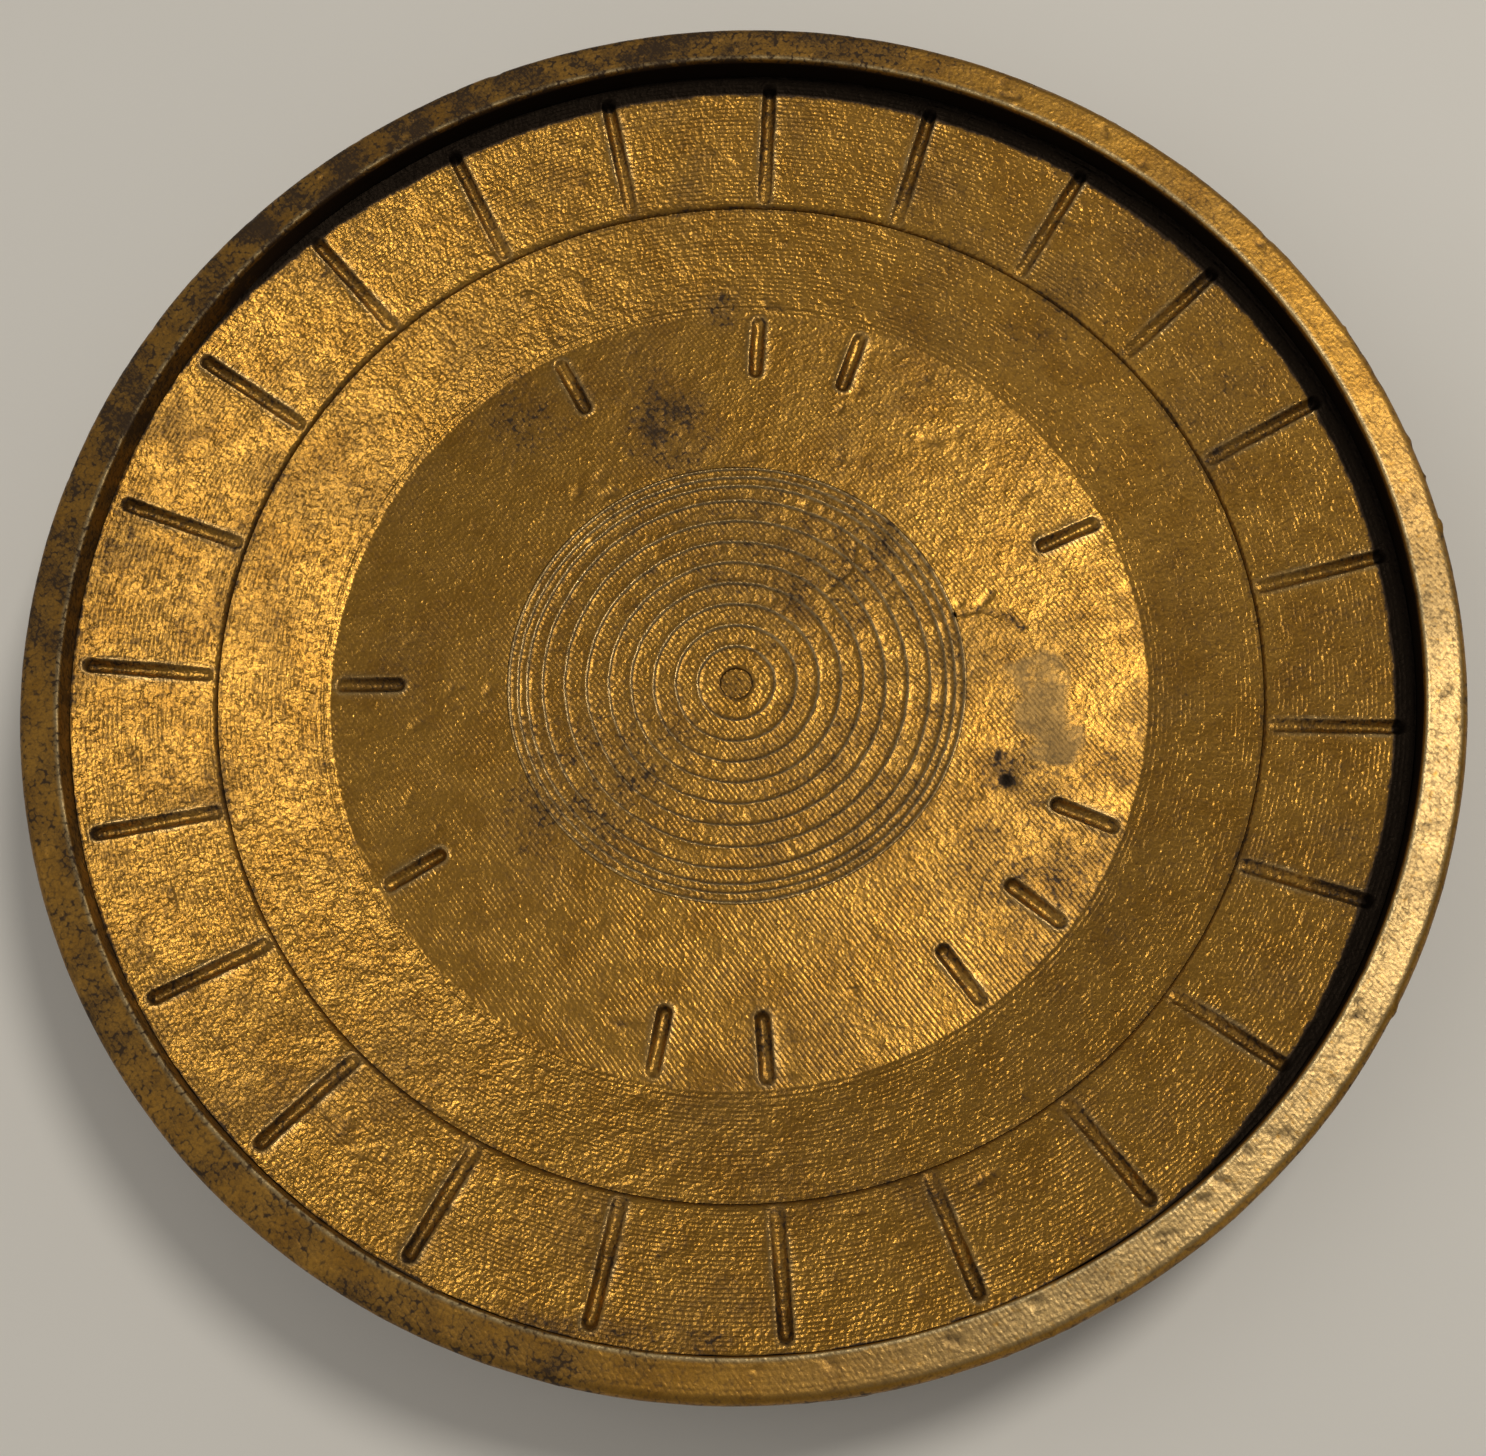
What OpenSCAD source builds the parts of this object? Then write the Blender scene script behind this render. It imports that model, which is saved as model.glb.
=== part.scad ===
// Bronze sundial dial: a dished plate with a raised rim, a sloping chapter ring with
// 23 radial grooves, a centre plate with 11 short slots and a shallow stepped centre.
// Every layer is a turned ring or disc that seats on the body and is held from below.
// Origin: centre of the resting face. +Z is up, the first groove lies on +Y.

/* [Dial] */
// Outer diameter of the dial
outer_d = 150; // [149:0.5:156]
// Height of the flat face above the resting face
face_z = 8; // [7.6:0.1:9]
// Rise from the flat face to the step line
band_rise = 3.7; // [3.4:0.1:4]
// Rise of the chapter ring from the step line to the foot of the rim
ring_rise = 4.9; // [4.6:0.1:5.2]
// Height of the rim above the outer edge of the chapter ring
rim_rise = 3.3; // [2:0.1:6]
// Height of the small step at the chapter ring's inner edge
step_h = 0.4; // [0.2:0.05:0.6]

/* [Radii] */
// Width of the flat rim
rim_w = 4.4; // [4.2:0.1:4.6]
// Radius of the step line
step_r = 56.1; // [55.8:0.1:56.3]
// Radius of the flat face
face_r = 44.8; // [44.5:0.1:45.2]
// Radius of the stepped centre
dish_r = 24.8; // [24:0.1:26]

/* [Grooves] */
// Number of long grooves in the chapter ring
groove_n = 23; // [12:1:36]
// Width of a long groove
groove_w = 1.6; // [1:0.1:2]
// Depth of a long groove at its outer end
groove_depth = 1; // [0.6:0.1:1.2]
// Numbers of the long grooves that have a short slot beside them, counted anticlockwise
slot_at = [1, 3, 7, 9, 12, 13, 15, 16, 17, 20, 23];
// Width of a short slot
slot_w = 1.7; // [1:0.1:2]
// Depth of a short slot at its inner end
slot_depth = 0.9; // [0.5:0.1:1.2]

/* [Stepped centre] */
// Number of equal steps in the shallow centre
dish_steps = 8; // [4:1:11]
// Height of one step
dish_step_h = 0.15; // [0.1:0.01:0.16]
// Number of close steps at the lip of the centre
lip_steps = 3; // [1:1:3]
// Radius of the plug in the middle
plug_r = 1.75; // [1.7:0.05:2.4]

/* [Fixings] */
// Number of rim screws and of chapter ring screws
screw_n = 6; // [3:1:8]
// Number of tapped holes for pedestal bolts
pedestal_n = 3; // [3:1:6]
// Radius of the pedestal bolt circle
pedestal_circle_r = 30; // [28:1:38]
// Radius of a tapped pedestal hole, for an M5 bolt
pedestal_hole_r = 2.1; // [1.6:0.1:2.5]

/* [Hidden] */
$fn = 96;

// Radial and vertical play between neighbouring pieces
gap = 0.05;
// Amount that a cutting tool reaches past a face
over = 0.5;
// Edge break on turned corners
edge = 0.4;

outer_r = outer_d / 2;
wall_r = outer_r - rim_w;
ring_r = wall_r - 0.1;
step_z = face_z + band_rise;
ring_in_z = step_z + step_h;
ring_out_z = ring_in_z + ring_rise;
rim_z = ring_out_z + rim_rise;

// Floor of the body, on which the centre plate lies
floor_z = face_z / 2;
floor_r = 45.5;
// Foot ring on which the dial rests, proud of the floor's underside
foot_r = 44.5;
foot_in = 38;
foot_h = 0.8;
// Rounded side of the foot ring: its width and its rise
foot_side = 1.7;
foot_rise = 0.9;
// Sloping underside: where it meets the flange, and its drop below the flange
throat_r = wall_r - 1.6;
throat_top_r = wall_r - 0.8;
throat_drop = 1.9;
// Play between the body's cone and the centre plate's, so that the plate rests on its floor
cone_play = 0.8;
// Flange of the centre plate, trapped under the chapter ring
flange_r = 59;
flange_top = step_z - 1.5;
flange_z = flange_top - 1.8;
// Rib under the chapter ring that takes its screws
rib_in = 61.2;
rib_out = 66.8;
rib_z = flange_top - 0.6;
rib_play = 0.2;
// Thickness of the chapter ring outside its rib
ring_skin = 2.8;
// Flange of the body under the rim
flange_h = 3;
seat_z = flange_top + flange_h;
body_flange_z = seat_z - flange_h;
// Lip of the body inside the rim's seat
lip_play = 0.3;

// Stepped centre: an insert with a shoulder and a spigot
dish_out_r = dish_r + 0.3;
dish_lip = 1.6;
dish_hub_r = 22;
spigot_r = 5;
spigot_z = 2.4;
dish_pit_z = face_z - (dish_steps + lip_steps + 1) * dish_step_h;
lip_w = 3.7;
lip_pitch = 1;
plug_h = 1;

// Screws: M2.5 with low heads, and one M4 in the middle
small_r = 1;
small_tap_r = 1.03;
small_clear_r = 1.35;
small_head_r = 1.9;
small_head_h = 1.3;
small_bore_r = small_head_r + 0.15;
centre_r = 1.65;
centre_tap_r = 1.7;
centre_head_r = 3.5;
centre_head_h = 1.3;
washer_r = 7;
washer_h = 0.8;
washer_play = 0.4;
centre_bore_z = 2.2;
centre_screw_len = dish_pit_z - plug_h - centre_bore_z + washer_h - 0.3;
drive_w = 0.6;
drive_depth = 0.7;
rim_screw_r = wall_r + 1.65;
rim_screw_z = body_flange_z + 1.5;
rim_screw_len = 5.8;
rim_tap_depth = 5;
ring_screw_r = (rib_in + rib_out) / 2;
ring_screw_z = rib_z - 1.4;
ring_screw_len = 4.2;
ring_tap_depth = 3.3;

// Locating pins that keep the slots in line with the grooves
plate_pin_r = 1;
plate_pin_at = 35;
plate_pin_down = 1.6;
plate_pin_z = floor_z - plate_pin_down;
plate_pin_len = 3.4;
ring_pin_r = 0.75;
ring_pin_at = 57.7;
ring_pin_down = 1.2;
ring_pin_z = flange_top - ring_pin_down;
ring_pin_len = 2.4;
pin_fit = 0.02;

groove_in = step_r + 0.5;
groove_out = wall_r - 1;
groove_tail = 0.1;
slot_in = 36.4;
slot_out = face_r - 0.7;
slot_tail = 0.3;

// Angle of long groove k, where groove 1 lies on +Y
function groove_angle(k) = 90 + (k - 1) * 360 / groove_n;
// Height of the chapter ring's top at radius r
function ring_top(r) = ring_in_z + ring_rise * (r - step_r) / (wall_r - step_r);
// Outer radius of step k of the centre: close steps at the lip, then equal ones
function dish_edge(k) = k < lip_steps
    ? dish_r - k * lip_pitch
    : plug_r + (dish_r - lip_w - plug_r) * (lip_steps + dish_steps - k) / dish_steps;

// Copies its children n times round the axis
module around(n, start = 0) {
    for (i = [0:n - 1])
        rotate([0, 0, start + i * 360 / n])
            children();
}

// Round-ended cutter between radii a and b, with its floor from height za to height zb
module groove_cutter(a, b, w, za, zb) {
    tilt = atan2(zb - za, b - a);
    run = norm([b - a, zb - za]) - w;
    high = 3;
    translate([a, 0, za])
        rotate([0, -tilt, 0])
            translate([w / 2, 0, 0]) {
                cylinder(r = w / 2, h = high);
                translate([run, 0, 0])
                    cylinder(r = w / 2, h = high);
                translate([0, -w / 2, 0])
                    cube([run, w, high]);
            }
}

module dish_body() {
    color("#6f4e20")
        difference() {
            rotate_extrude($fn = 192)
                polygon([
                    [0, foot_h], [foot_in, foot_h], [foot_in + foot_h, 0], [foot_r, 0],
                    [foot_r + foot_side, foot_rise],
                    [throat_r, body_flange_z - throat_drop], [throat_top_r, body_flange_z],
                    [outer_r - edge, body_flange_z], [outer_r, body_flange_z + edge],
                    [outer_r, seat_z], [wall_r - lip_play, seat_z], [wall_r - lip_play, seat_z - lip_play],
                    [rib_out + rib_play, rib_z + throat_drop], [rib_out + rib_play, rib_z],
                    [rib_in - rib_play, rib_z], [rib_in - rib_play, flange_z],
                    [step_r + edge, flange_z], [step_r + edge, flange_z - edge],
                    [floor_r + cone_play + lip_play, floor_z], [0, floor_z]
                ]);
            translate([0, 0, -over])
                cylinder(r = spigot_r + gap, h = face_z);
            translate([0, 0, -over])
                cylinder(r = washer_r + washer_play, h = centre_bore_z + over);
            around(pedestal_n, 90)
                translate([pedestal_circle_r, 0, -over])
                    cylinder(r = pedestal_hole_r, h = floor_z + 2 * over);
            around(screw_n, 90) {
                translate([rim_screw_r, 0, body_flange_z - over])
                    cylinder(r = small_clear_r, h = flange_h + 2 * over);
                translate([rim_screw_r, 0, 0])
                    cylinder(r = small_bore_r, h = rim_screw_z);
            }
            around(screw_n, 90) {
                translate([ring_screw_r, 0, 0])
                    cylinder(r = small_clear_r, h = rib_z + over);
                translate([ring_screw_r, 0, 0])
                    cylinder(r = small_bore_r, h = ring_screw_z);
            }
            rotate([0, 0, -90])
                translate([plate_pin_at, 0, plate_pin_z])
                    cylinder(r = plate_pin_r + pin_fit, h = face_z);
        }
}

module dial_plate() {
    color("#b8862b")
        difference() {
            rotate_extrude($fn = 192)
                polygon([
                    [dish_hub_r + gap, floor_z], [floor_r + lip_play, floor_z],
                    [step_r + 0.1, flange_z], [flange_r, flange_z], [flange_r, flange_top],
                    [step_r, flange_top], [step_r, step_z], [face_r, face_z],
                    [dish_out_r + gap, face_z], [dish_out_r + gap, face_z - dish_lip],
                    [dish_hub_r + gap, face_z - dish_lip]
                ]);
            for (k = slot_at)
                rotate([0, 0, groove_angle(k)])
                    groove_cutter(slot_in, slot_out, slot_w, face_z - slot_depth, face_z - slot_tail);
            rotate([0, 0, -90])
                translate([plate_pin_at, 0, floor_z - over])
                    cylinder(r = plate_pin_r + pin_fit, h = plate_pin_len - plate_pin_down + over);
            translate([0, ring_pin_at, ring_pin_z])
                cylinder(r = ring_pin_r + pin_fit, h = ring_pin_down + over);
        }
}

module chapter_ring() {
    color("#c2902f")
        difference() {
            rotate_extrude($fn = 192)
                polygon([
                    [step_r + gap, flange_top + gap], [rib_in, flange_top + gap], [rib_in, rib_z],
                    [rib_out, rib_z], [rib_out, ring_top(rib_out) - ring_skin],
                    [ring_r, ring_out_z - ring_skin], [ring_r, ring_top(ring_r)],
                    [step_r + gap + edge, ring_top(step_r + gap + edge)], [step_r + gap, step_z]
                ]);
            for (k = [1:groove_n])
                rotate([0, 0, groove_angle(k)])
                    groove_cutter(groove_in, groove_out, groove_w,
                        ring_top(groove_in) - groove_tail, ring_top(groove_out) - groove_depth);
            around(screw_n, 90)
                translate([ring_screw_r, 0, rib_z - over])
                    cylinder(r = small_tap_r, h = ring_tap_depth + over);
            translate([0, ring_pin_at, flange_top])
                cylinder(r = ring_pin_r + pin_fit, h = ring_pin_len - ring_pin_down + 0.1);
        }
}

module rim_ring() {
    color("#a87a2b")
        difference() {
            rotate_extrude($fn = 192)
                polygon([
                    [wall_r, seat_z], [outer_r, seat_z], [outer_r, rim_z - 2 * edge],
                    [outer_r - edge, rim_z - edge / 2], [outer_r - 2 * edge, rim_z],
                    [wall_r + edge / 2, rim_z], [wall_r, rim_z - edge / 2]
                ]);
            around(screw_n, 90)
                translate([rim_screw_r, 0, seat_z - over])
                    cylinder(r = small_tap_r, h = rim_tap_depth + over);
        }
}

module centre_dish() {
    color("#b58a35")
        difference() {
            union() {
                translate([0, 0, spigot_z])
                    cylinder(r = spigot_r, h = floor_z);
                translate([0, 0, floor_z])
                    cylinder(r = dish_hub_r, h = face_z - dish_lip / 2 - floor_z);
                translate([0, 0, face_z - dish_lip])
                    cylinder(r = dish_out_r, h = dish_lip);
            }
            for (k = [0:lip_steps + dish_steps - 1])
                translate([0, 0, face_z - (k + 1) * dish_step_h])
                    cylinder(r = dish_edge(k), h = face_z);
            cylinder(r = centre_tap_r, h = face_z);
            translate([0, 0, dish_pit_z - plug_h])
                cylinder(r = plug_r, h = face_z);
        }
}

module centre_plug() {
    color("#7d6a3c")
        translate([0, 0, dish_pit_z - plug_h])
            cylinder(r = plug_r - pin_fit, h = plug_h - 0.05);
}

module centre_washer() {
    color("#c9a65a")
        translate([0, 0, centre_bore_z - washer_h])
            difference() {
                cylinder(r = washer_r, h = washer_h);
                translate([0, 0, -over])
                    cylinder(r = centre_r + washer_play, h = washer_h + 2 * over);
            }
}

// Low-head screw with its head below z = 0 and a slot across the head
module screw(r, len, head_r, head_h) {
    difference() {
        union() {
            cylinder(r = r, h = len);
            translate([0, 0, -head_h])
                cylinder(r = head_r, h = head_h);
        }
        translate([-head_r - over, -drive_w / 2, -head_h - over])
            cube([2 * head_r + 2 * over, drive_w, over + drive_depth]);
    }
}

module centre_screw() {
    color("#b9bcc0")
        translate([0, 0, centre_bore_z - washer_h])
            screw(centre_r, centre_screw_len, centre_head_r, centre_head_h);
}

module ring_screws() {
    color("#b9bcc0")
        around(screw_n, 90)
            translate([ring_screw_r, 0, ring_screw_z])
                screw(small_r, ring_screw_len, small_head_r, small_head_h);
}

module rim_screws() {
    color("#b9bcc0")
        around(screw_n, 90)
            translate([rim_screw_r, 0, rim_screw_z])
                screw(small_r, rim_screw_len, small_head_r, small_head_h);
}

module plate_pin() {
    color("#b9bcc0")
        rotate([0, 0, -90])
            translate([plate_pin_at, 0, plate_pin_z])
                cylinder(r = plate_pin_r, h = plate_pin_len - 0.1);
}

module ring_pin() {
    color("#b9bcc0")
        translate([0, ring_pin_at, ring_pin_z])
            cylinder(r = ring_pin_r, h = ring_pin_len);
}

dish_body();
dial_plate();
chapter_ring();
rim_ring();
centre_dish();
centre_plug();
centre_screw();
centre_washer();
ring_screws();
rim_screws();
plate_pin();
ring_pin();
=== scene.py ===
import math

import bpy
import numpy as np
from mathutils import Matrix, Vector


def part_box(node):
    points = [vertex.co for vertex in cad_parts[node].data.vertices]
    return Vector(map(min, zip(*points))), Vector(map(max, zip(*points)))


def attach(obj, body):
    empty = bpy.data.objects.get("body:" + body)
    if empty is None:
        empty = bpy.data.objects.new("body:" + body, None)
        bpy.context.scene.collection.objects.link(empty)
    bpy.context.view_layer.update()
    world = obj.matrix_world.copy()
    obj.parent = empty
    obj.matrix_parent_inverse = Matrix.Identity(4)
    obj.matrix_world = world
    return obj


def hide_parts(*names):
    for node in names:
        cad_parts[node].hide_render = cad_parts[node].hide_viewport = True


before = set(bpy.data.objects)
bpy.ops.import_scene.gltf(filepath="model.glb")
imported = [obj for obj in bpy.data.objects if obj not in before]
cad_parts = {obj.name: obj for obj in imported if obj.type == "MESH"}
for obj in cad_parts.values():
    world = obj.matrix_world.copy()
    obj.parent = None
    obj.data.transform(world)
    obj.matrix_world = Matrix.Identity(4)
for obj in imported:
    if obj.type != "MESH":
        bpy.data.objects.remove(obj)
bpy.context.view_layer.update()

# Lengths are in millimetres in the dial's own frame, and meshes are scaled to metres by MM.
# Angles are in degrees, anticlockwise from +X seen from above.
MM = 0.001

# ---------------------------------------------------------------- sizes from the frame

RIM_LOW, RIM_HIGH = (np.array(corner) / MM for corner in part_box("rim_ring"))
PLATE_LOW, PLATE_HIGH = (np.array(corner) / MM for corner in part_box("dial_plate"))
RING_LOW, RING_HIGH = (np.array(corner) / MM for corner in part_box("chapter_ring"))
DISH_LOW, DISH_HIGH = (np.array(corner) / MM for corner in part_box("centre_dish"))
PLUG_LOW, PLUG_HIGH = (np.array(corner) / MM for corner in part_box("centre_plug"))

# Rim, and the seat it stands on
RIM_W = 4.4
OUTER_R = RIM_HIGH[0]
WALL_R = OUTER_R - RIM_W
RIM_Z = RIM_HIGH[2]
SEAT_Z = RIM_LOW[2]
# Heights of the flat face, the step line and the body's floor, and radii of the circles between the zones
FACE_Z = DISH_HIGH[2]
STEP_Z = PLATE_HIGH[2]
FLOOR_Z = PLATE_LOW[2]
STEP_R = 56.1
FACE_R = 44.8
DISH_R = 24.8
GAP = 0.05
# The small step, then the slopes of the chapter ring and of the band
STEP_H = 0.4
RING_RISE = 4.9
RING_IN_Z = STEP_Z + STEP_H
RING_SLOPE = RING_RISE / (WALL_R - STEP_R)
BAND_SLOPE = (STEP_Z - FACE_Z) / (STEP_R - FACE_R)
# Flange of the dial plate under the chapter ring, and the ledge under the stepped centre
FLANGE_R = PLATE_HIGH[0]
FLANGE_DROP = 1.5
FLANGE_H = 1.8
LEDGE_H = 1.6
HUB_R = 22
# Tapped holes, screw circles and pin holes
TAP_R = 1.03
RING_SCREW_R = 64
RIM_SCREW_R = WALL_R + 1.65
RING_PIN_R = 0.77
PLATE_PIN_R = 1.02

GROOVES = 23
SLOT_AT = (1, 3, 7, 9, 12, 13, 15, 16, 17, 20, 23)
# Printed layer height, print line width, and the direction across the lines
LAYER = 0.15
LINE = 0.485
HATCH_ANGLE = 41
# Direction of the rim's shaded side
SHADE_ANGLE = 50


def groove_angle(k):
    """Angle of long groove k: groove 1 lies on +Y."""
    return 90 + (k - 1) * 360 / GROOVES


def polar(radius, angle):
    """The point at that radius and angle in the XY plane."""
    return radius * math.cos(math.radians(angle)), radius * math.sin(math.radians(angle))


def screw_places(radius):
    """Places of the six screws on that circle, the first on +Y."""
    return [polar(radius, 90 + 60 * k) for k in range(6)]


RING_PIN = polar(57.7, 90)
PLATE_PIN = polar(35, -90)


# ---------------------------------------------------------------- noise and shaping helpers

LATTICE = np.random.default_rng(11).uniform(-1, 1, (64, 64, 64))


def ease(low, high, x):
    """0 below low, 1 above high, smooth between them. low may be the larger one."""
    t = np.clip((x - low) / (high - low), 0, 1)
    return t * t * (3 - 2 * t)


def noise(points, size, seed=0):
    """Smooth value noise from -1 to 1 with features about size mm across."""
    q = points / size + seed * np.array([13.7, 5.3, 9.1])
    cell = np.floor(q)
    part = q - cell
    part = part * part * (3 - 2 * part)
    x0, y0, z0 = (cell[..., k].astype(int) & 63 for k in range(3))
    x1, y1, z1 = (x0 + 1) & 63, (y0 + 1) & 63, (z0 + 1) & 63
    u, v, w = part[..., 0], part[..., 1], part[..., 2]

    def along_x(y, z):
        low = LATTICE[x0, y, z]
        return low + u * (LATTICE[x1, y, z] - low)

    near_side = along_x(y0, z0)
    near_side += v * (along_x(y1, z0) - near_side)
    far_side = along_x(y0, z1)
    far_side += v * (along_x(y1, z1) - far_side)
    return near_side + w * (far_side - near_side)


def layered(points, size, seed=0, octaves=3):
    """Noise with finer octaves added at half the height each."""
    total = np.zeros(points.shape[:-1])
    for k in range(octaves):
        total += noise(points, size / 2**k, seed + k) / 2**k
    return total


def near(points, centre, radius):
    """1 at the centre, falling to 0 at that distance in the XY plane."""
    gone = np.hypot(points[..., 0] - centre[0], points[..., 1] - centre[1])
    return ease(radius, 0, gone)


def near_line(points, start, end, width):
    """1 on the line from start to end in the XY plane, falling to 0 at that distance from it."""
    a = np.array(start)
    run = np.array(end) - a
    flat = points[..., :2] - a
    t = np.clip(flat @ run / (run @ run), 0, 1)
    gone = np.linalg.norm(flat - t[..., None] * run, axis=-1)
    return ease(width, 0, gone)


def angle_of(points):
    """Angle of each point round the dial, from -180 to 180."""
    return np.degrees(np.arctan2(points[..., 1], points[..., 0]))


def apart(angle, at):
    """How far each angle is from that one, from 0 to 180."""
    return np.abs((angle + 180 - at) % 360 - 180)


def capsule(points, angle, start, end, half):
    """Distance outside the round-ended bar of that half width that runs out along a radius."""
    cos, sin = math.cos(math.radians(angle)), math.sin(math.radians(angle))
    along = points[..., 0] * cos + points[..., 1] * sin
    across = points[..., 1] * cos - points[..., 0] * sin
    t = np.clip(along, start + half, end - half)
    return np.hypot(along - t, across) - half, along


# ---------------------------------------------------------------- turned meshes


def plain_columns(count):
    """Evenly spaced columns, each as (angle a, offset a, angle b, offset b, share of b)."""
    return np.array([(360 * k / count, 0, 0, 0, 0) for k in range(count)], float)


def featured_columns(angles, offsets, spacing):
    """Columns parallel to the bar at each angle, at those offsets, that fan out between the bars."""
    rows = []
    for k, a in enumerate(angles):
        b = angles[(k + 1) % len(angles)]
        if b <= a:
            b += 360
        for offset in offsets:
            rows.append((a, offset, a, offset, 0))
        between = max(2, round((b - a) / spacing))
        for step in range(1, between):
            rows.append((a, offsets[-1], b, offsets[0], step / between))
    return np.array(rows, float)


def column_angles(columns, radius):
    """The angle in radians of every column at each radius."""
    r = radius[:, None]
    a = np.radians(columns[:, 0]) + np.arcsin(columns[:, 1] / r)
    b = np.radians(columns[:, 2]) + np.arcsin(columns[:, 3] / r)
    return a + (b - a) * columns[:, 4]


def turned(outline, columns):
    """Points and normals of a turned solid.

    The outline is its closed section as (radius, height) rows, from inner to outer over the top."""
    outline = np.array(outline, float)
    angle = column_angles(columns, outline[:, 0])
    points = np.empty(angle.shape + (3,))
    points[..., 0] = outline[:, :1] * np.cos(angle)
    points[..., 1] = outline[:, :1] * np.sin(angle)
    points[..., 2] = outline[:, 1:]
    ahead = np.roll(outline, -1, 0) - np.roll(outline, 1, 0)
    ahead /= np.maximum(np.linalg.norm(ahead, axis=1, keepdims=True), 1e-6)
    normal = np.empty_like(points)
    normal[..., 0] = -ahead[:, 1:] * np.cos(angle)
    normal[..., 1] = -ahead[:, 1:] * np.sin(angle)
    normal[..., 2] = ahead[:, :1]
    return points, normal


def solid(name, points, marks):
    """A closed mesh object from rows x columns of points, with the marks as a point colour.

    The marks are grime with painted shade, dullness, and wear with painted highlight. Grime above 1 is black:
    soot, and painted shadow."""
    rows, columns = points.shape[:2]
    index = np.arange(rows * columns).reshape(rows, columns)
    below = np.roll(index, -1, 0)
    faces = np.stack([index, below, np.roll(below, -1, 1), np.roll(index, -1, 1)], -1).reshape(-1, 4)
    mesh = bpy.data.meshes.new(name)
    mesh.from_pydata((points.reshape(-1, 3) * MM).tolist(), [], faces.tolist())
    layer = mesh.attributes.new("marks", "FLOAT_COLOR", "POINT")
    colours = np.ones((rows * columns, 4))
    colours[:, :3] = np.clip(marks.reshape(-1, 3), 0, 2)
    layer.data.foreach_set("color", colours.ravel())
    piece = bpy.data.objects.new(name, mesh)
    bpy.context.collection.objects.link(piece)
    return piece


def cylinder_points(x, y, low, high, radius, sides=40):
    """Vertices and faces of one closed cylinder, for drilling."""
    turns = [2 * math.pi * k / sides for k in range(sides)]
    ring = [(x + radius * math.cos(turn), y + radius * math.sin(turn)) for turn in turns]
    vertices = [(px, py, low) for px, py in ring] + [(px, py, high) for px, py in ring]
    faces = [(k, (k + 1) % sides, sides + (k + 1) % sides, sides + k) for k in range(sides)]
    faces.append(tuple(reversed(range(sides))))
    faces.append(tuple(range(sides, 2 * sides)))
    return vertices, faces


def drill(piece, holes):
    """Cuts round holes, each (x, y, low, high, radius), along Z."""
    vertices, faces = [], []
    for hole in holes:
        more, sides = cylinder_points(*hole)
        faces += [tuple(k + len(vertices) for k in side) for side in sides]
        vertices += more
    mesh = bpy.data.meshes.new("drill")
    mesh.from_pydata([tuple(c * MM for c in v) for v in vertices], [], faces)
    cutter = bpy.data.objects.new("drill", mesh)
    bpy.context.collection.objects.link(cutter)
    cut = piece.modifiers.new("drill", "BOOLEAN")
    cut.operation = "DIFFERENCE"
    cut.solver = "MANIFOLD"
    cut.object = cutter
    with bpy.context.temp_override(object=piece, active_object=piece):
        bpy.ops.object.modifier_apply(modifier=cut.name)
    bpy.data.objects.remove(cutter)
    bpy.data.meshes.remove(mesh)


SHARP_ANGLE = 62


def finish_piece(piece, node, material):
    """Shades the piece, gives it its material and puts it in the place of its CAD node."""
    piece.data.materials.clear()
    piece.data.materials.append(material)
    piece.data.polygons.foreach_set("material_index", [0] * len(piece.data.polygons))
    piece.data.polygons.foreach_set("use_smooth", [True] * len(piece.data.polygons))
    piece.data.set_sharp_from_angle(angle=math.radians(SHARP_ANGLE))
    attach(piece, "root")
    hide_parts(node)


def spread(a, b, spacing):
    """Evenly spaced values from a up to but not at b."""
    count = max(1, round(abs(b - a) / spacing))
    return [a + (b - a) * k / count for k in range(count)]


# ---------------------------------------------------------------- surface, as heights over the turned shape


def print_steps(radius, start, slope):
    """Height that the printed layers of a cone add to it: a rise and a tread for each layer."""
    turn = (radius - start) * slope / LAYER
    phase = turn - np.floor(turn)
    return LAYER * (ease(0.05, 0.75, phase) - phase)


def cast_skin(points, seed, coarse=0.05, fine=0.03):
    """The uneven skin of a sand casting."""
    skin = coarse * layered(points, 7, seed, 2)
    skin += 0.6 * fine * noise(points, 1.7, seed + 5)
    skin += fine * noise(points, 0.85, seed + 7)
    return skin


def bead(points, radius, at, height, seed):
    """A raised printed line round the dial at that radius, broken like a chain."""
    chain = 0.7 + 0.5 * noise(points, 0.75, seed)
    return height * ease(0.27, 0.04, np.abs(radius - at)) * chain


def pits(points, count, inner, outer, seed):
    """Small pits and scratches at random places between two radii: (depth, darkness)."""
    rng = np.random.default_rng(seed)
    depth = np.zeros(points.shape[:-1])
    for _ in range(count):
        radius = math.sqrt(rng.uniform(inner**2, outer**2))
        centre = np.array(polar(radius, rng.uniform(0, 360)))
        width = rng.uniform(0.4, 0.75)
        lean = rng.uniform(0, math.pi)
        long = np.array([math.cos(lean), math.sin(lean)]) * rng.uniform(0.05, 1.0) ** 2
        deep = rng.uniform(0.05, 0.16)
        depth = np.maximum(depth, deep * near_line(points, centre - long, centre + long, width))
    return depth, np.clip(depth * 4, 0, 1)


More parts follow.
